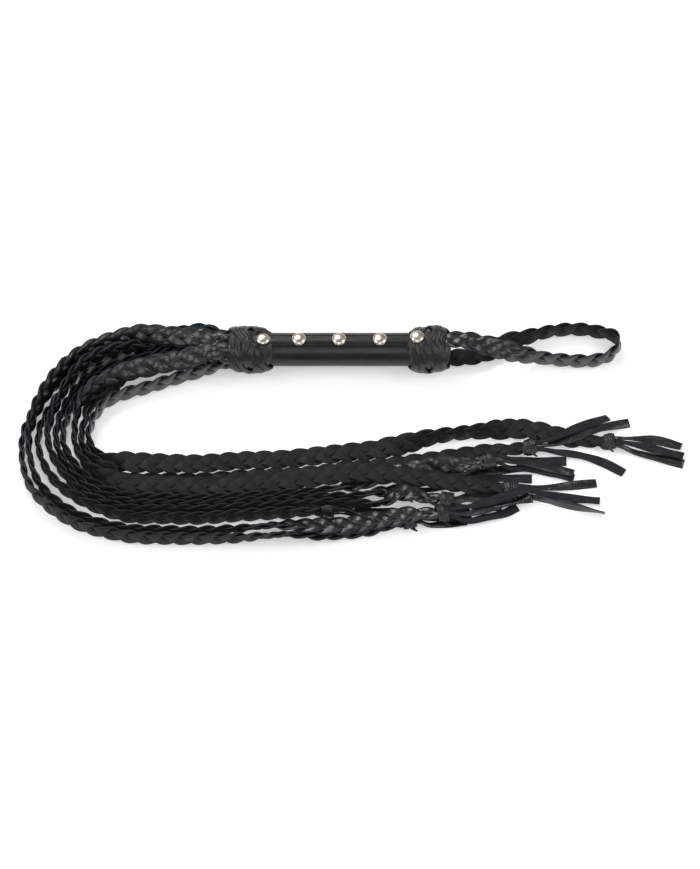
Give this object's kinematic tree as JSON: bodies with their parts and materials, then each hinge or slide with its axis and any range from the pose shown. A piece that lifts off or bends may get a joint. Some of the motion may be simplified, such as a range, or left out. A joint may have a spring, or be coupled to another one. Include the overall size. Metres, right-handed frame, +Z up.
{
  "type": "braided leather whip",
  "caption": "Short studded leather-covered handle with a woven knot and wrist loop at one end and braided leather tails with cut fringe at the other.",
  "frame": {"origin": "on the table under the middle of the handle, the tails and the wrist loop left out", "axes": "+X along the handle from the tails' knot to the wrist loop's knot, +Z up through the studs, and the tails turn back on the -Y side"},
  "size_m": [0.4767, 0.1832, 0.0355],
  "materials": {
    "cover_leather": "smooth satin black",
    "lace_leather": "creased satin black",
    "braid_leather": "grained, dull on the flesh side",
    "cut_leather": "cut strips, suede flesh side",
    "nail_nickel": "polished warm nickel",
    "dowel_wood": "plain turned wood",
    "waxed_thread": "waxed thread"
  },
  "bodies": {
    "handle": {"handle_core": "dowel_wood", "handle_cover": "cover_leather", "stud_1": "nail_nickel", "stud_2": "nail_nickel", "stud_3": "nail_nickel", "stud_4": "nail_nickel", "stud_5": "nail_nickel", "tail_end_knot": "lace_leather", "loop_end_knot": "lace_leather", "tail_binding": "waxed_thread", "loop_binding": "waxed_thread", "tail_1": "braid_leather", "tail_2": "braid_leather", "tail_3": "braid_leather", "tail_4": "braid_leather", "tail_5": "braid_leather", "tail_6": "braid_leather", "tail_7": "braid_leather", "tail_8": "braid_leather", "tail_9": "braid_leather", "tail_1_tie": "lace_leather", "tail_2_tie": "lace_leather", "tail_3_tie": "lace_leather", "tail_4_tie": "lace_leather", "tail_5_tie": "lace_leather", "tail_6_tie": "lace_leather", "tail_7_tie": "lace_leather", "tail_8_tie": "lace_leather", "tail_9_tie": "lace_leather", "tail_1_strip_1": "cut_leather", "tail_1_strip_2": "cut_leather", "tail_1_strip_3": "cut_leather", "tail_2_strip_1": "cut_leather", "tail_2_strip_2": "cut_leather", "tail_2_strip_3": "cut_leather", "tail_3_strip_1": "cut_leather", "tail_3_strip_2": "cut_leather", "tail_3_strip_3": "cut_leather", "tail_4_strip_1": "cut_leather", "tail_4_strip_2": "cut_leather", "tail_4_strip_3": "cut_leather", "tail_5_strip_1": "cut_leather", "tail_5_strip_2": "cut_leather", "tail_5_strip_3": "cut_leather", "tail_6_strip_1": "cut_leather", "tail_6_strip_2": "cut_leather", "tail_6_strip_3": "cut_leather", "tail_7_strip_1": "cut_leather", "tail_7_strip_2": "cut_leather", "tail_7_strip_3": "cut_leather", "tail_8_strip_1": "cut_leather", "tail_8_strip_2": "cut_leather", "tail_8_strip_3": "cut_leather", "tail_9_strip_1": "cut_leather", "tail_9_strip_2": "cut_leather", "tail_9_strip_3": "cut_leather"},
    "loop": {"wrist_loop": "braid_leather"}
  },
  "joints": [
    {"name": "wrist_loop_swing", "type": "hinge", "parent": "handle", "child": "loop", "pos_m": [0.078, 0, 0.0166], "axis": [0, 0, 1], "range_deg": [-10, 45]}
  ]
}
